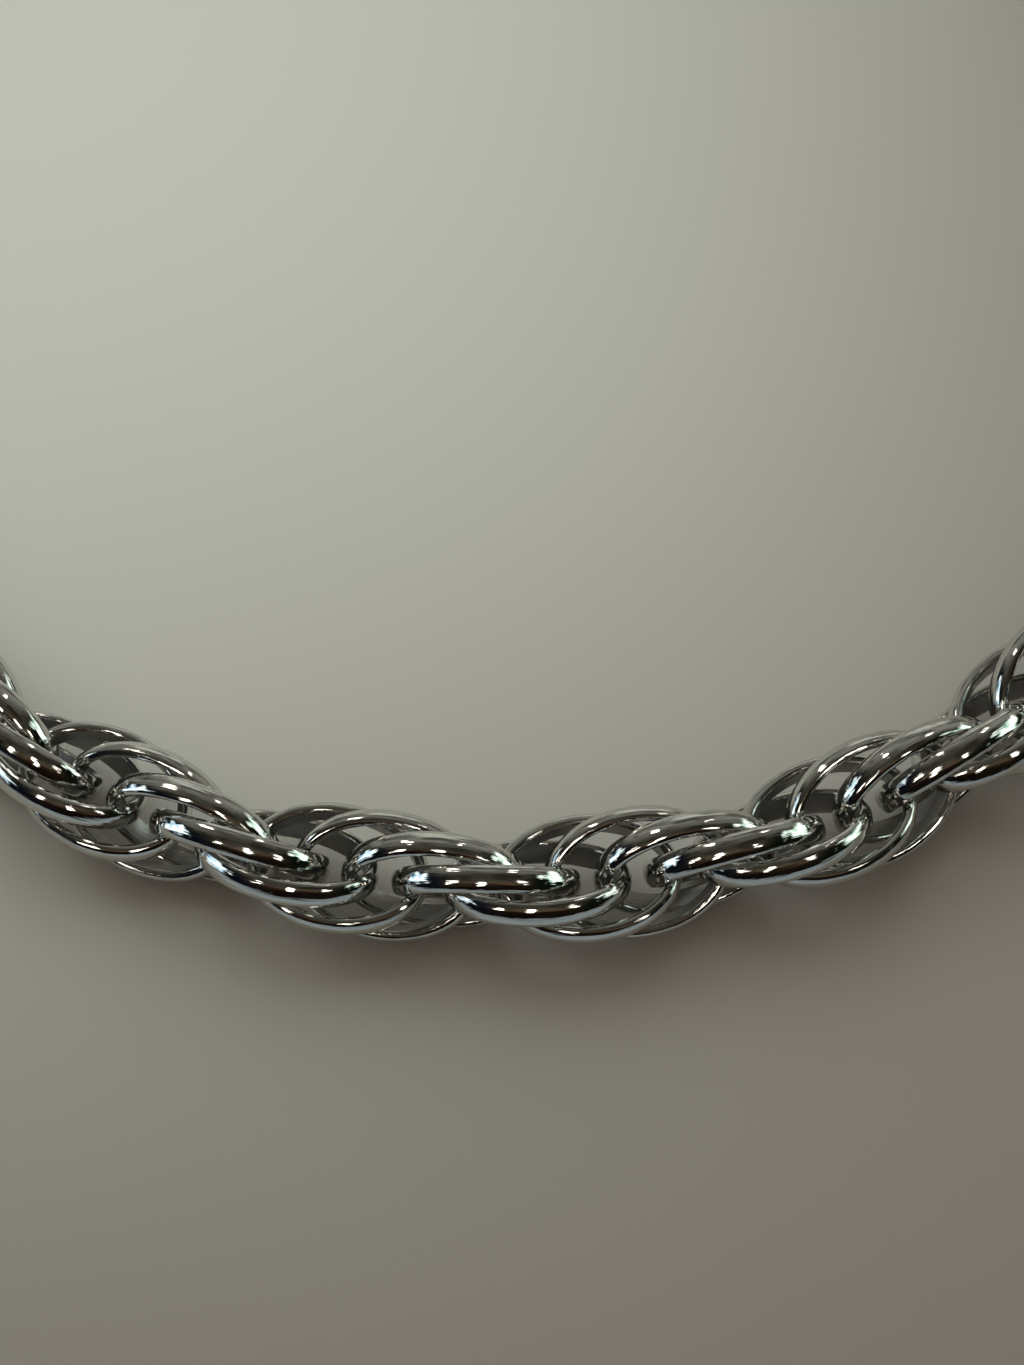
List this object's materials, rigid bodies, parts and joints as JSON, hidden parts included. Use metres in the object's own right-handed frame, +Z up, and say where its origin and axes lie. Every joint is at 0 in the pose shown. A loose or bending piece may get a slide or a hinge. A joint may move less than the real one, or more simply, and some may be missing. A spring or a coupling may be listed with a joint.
{
  "type": "link chain necklace",
  "caption": "Chunky loose rope chain necklace of plain oval links with a D-shaped band, laid as a round loop and closed by a plain oval ring.",
  "frame": {"origin": "on the surface that the necklace lies on, under the middle of its outer box", "axes": "+Z up from that surface, the shortest extent; -Y towards the front of the loop, +X to the right"},
  "size_m": [0.1544, 0.1544, 0.0114],
  "materials": {
    "polished_steel": "mirror polished outside, satin on the flat inside of each link",
    "clasp_steel": "polished"
  },
  "bodies": {
    "root": {"chain_left": "polished_steel", "chain_right": "polished_steel", "clasp": "clasp_steel"}
  },
  "joints": []
}
